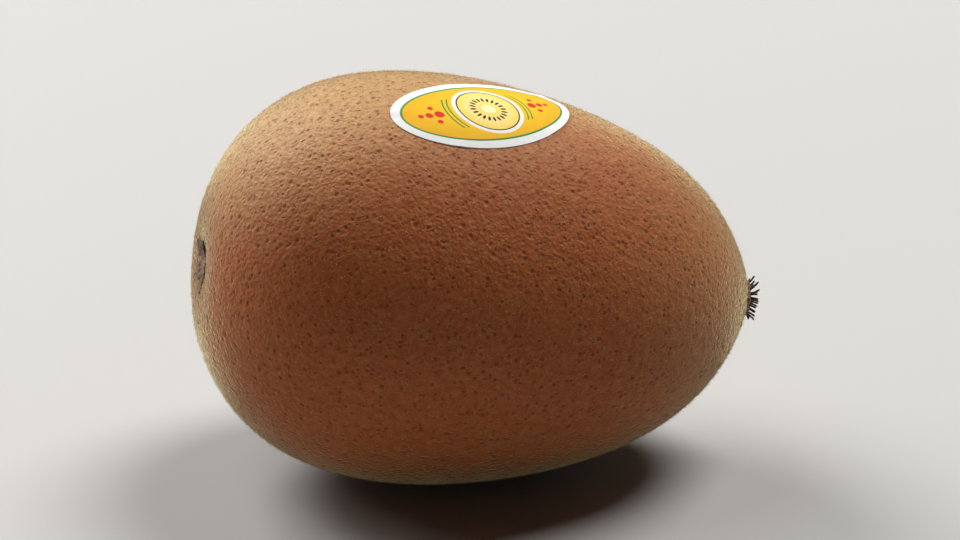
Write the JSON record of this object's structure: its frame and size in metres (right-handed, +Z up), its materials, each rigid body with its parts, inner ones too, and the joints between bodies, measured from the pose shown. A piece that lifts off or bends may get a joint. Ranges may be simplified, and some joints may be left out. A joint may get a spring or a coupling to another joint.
{
  "type": "golden kiwi fruit",
  "caption": "Whole golden kiwi fruit lying on its side, egg-shaped and brown, with a stalk scar, dried styles and a plain oval label.",
  "frame": {"origin": "on the ground, below the middle of the fruit's box", "axes": "+X from the stem end towards the blossom end along the ground, +Z up, +Y away from the labelled side"},
  "size_m": [0.0722, 0.0536, 0.0516],
  "materials": {
    "skin": "matt bronze-brown fruit skin with fine pores, close short fuzz and dry woody ends",
    "label_paper": "smooth coated label stock, golden yellow with a white rim"
  },
  "bodies": {
    "root": {"fruit": "skin", "label": "label_paper"}
  },
  "joints": []
}
